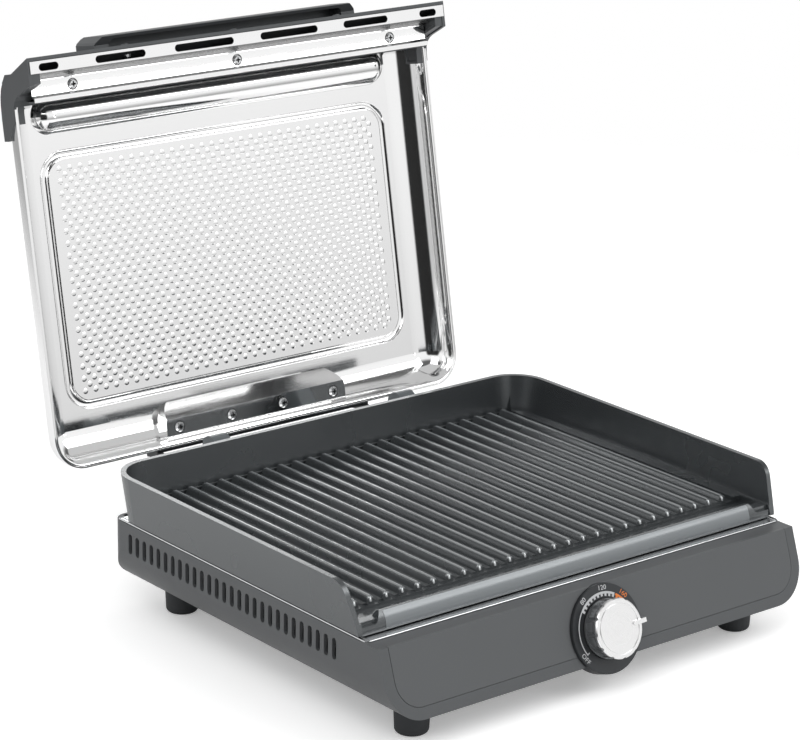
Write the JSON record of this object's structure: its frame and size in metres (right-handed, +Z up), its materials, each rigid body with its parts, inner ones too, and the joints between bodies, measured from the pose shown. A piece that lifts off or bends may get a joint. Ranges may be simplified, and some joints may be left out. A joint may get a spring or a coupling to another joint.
{
  "type": "electric indoor grill with lid",
  "caption": "Wide tabletop electric grill: ridged plate with raised walls, leaning fascia with temperature dial, and a perforated steel lid on a rear hinge, shown open.",
  "frame": {"origin": "middle of the bounding box's bottom face, on the plane under the feet", "axes": "+X to the user's right, +Y from the dial to the hinge, +Z up"},
  "size_m": [0.4, 0.4921, 0.4011],
  "materials": {
    "housing": "fine satin grain",
    "panel": "satin",
    "feet": "matt",
    "tray_steel": "bright sheet",
    "element": "dark oxide",
    "ceramic": "ceramic white",
    "zinc": "zinc plated",
    "black_plastic": "satin",
    "bezel": "dark satin",
    "polished": "polished",
    "spun": "spun face",
    "nonstick": "cast aluminium with black non-stick coat",
    "lid_steel": "bright polished stainless steel"
  },
  "bodies": {
    "base": {"base_shell": "housing", "front_fascia": "housing", "fascia_panel": "panel", "rear_panel": "housing", "bottom_cover": "zinc", "base_screws": "zinc", "feet": "feet", "heat_liner": "tray_steel", "heating_element": "element", "element_clips": "zinc", "thermostat_body": "ceramic", "terminal_block": "ceramic", "thermal_fuse": "zinc", "cord_gland": "black_plastic", "dial_bezel": "bezel", "hinge_bracket": "housing", "hinge_cross_bar": "polished", "hinge_pins": "polished", "hinge_screws": "zinc", "rear_spacers": "housing", "grill_plate": "nonstick", "plate_locators": "nonstick"},
    "dial": {"knob_shaft": "zinc", "knob_body": "black_plastic", "knob_cap": "spun", "knob_pointer": "spun"},
    "lid": {"lid_shell": "lid_steel", "lid_mesh": "lid_steel", "lid_hinge_bracket": "black_plastic", "bracket_screws": "zinc", "lid_trim": "housing", "vent_plate": "lid_steel", "vent_plate_screws": "zinc", "lid_handle": "housing", "handle_screws": "zinc"}
  },
  "joints": [
    {"name": "lid_hinge", "type": "hinge", "parent": "base", "child": "lid", "pos_m": [0, 0.1183, 0.07175], "axis": [1, 0, 0], "range_deg": [0, 100.8]},
    {"name": "dial_turn", "type": "hinge", "parent": "base", "child": "dial", "pos_m": [0, -0.22782, 0.0446], "axis": [0, -0.9455, 0.3256], "range_deg": [0, 212]}
  ]
}
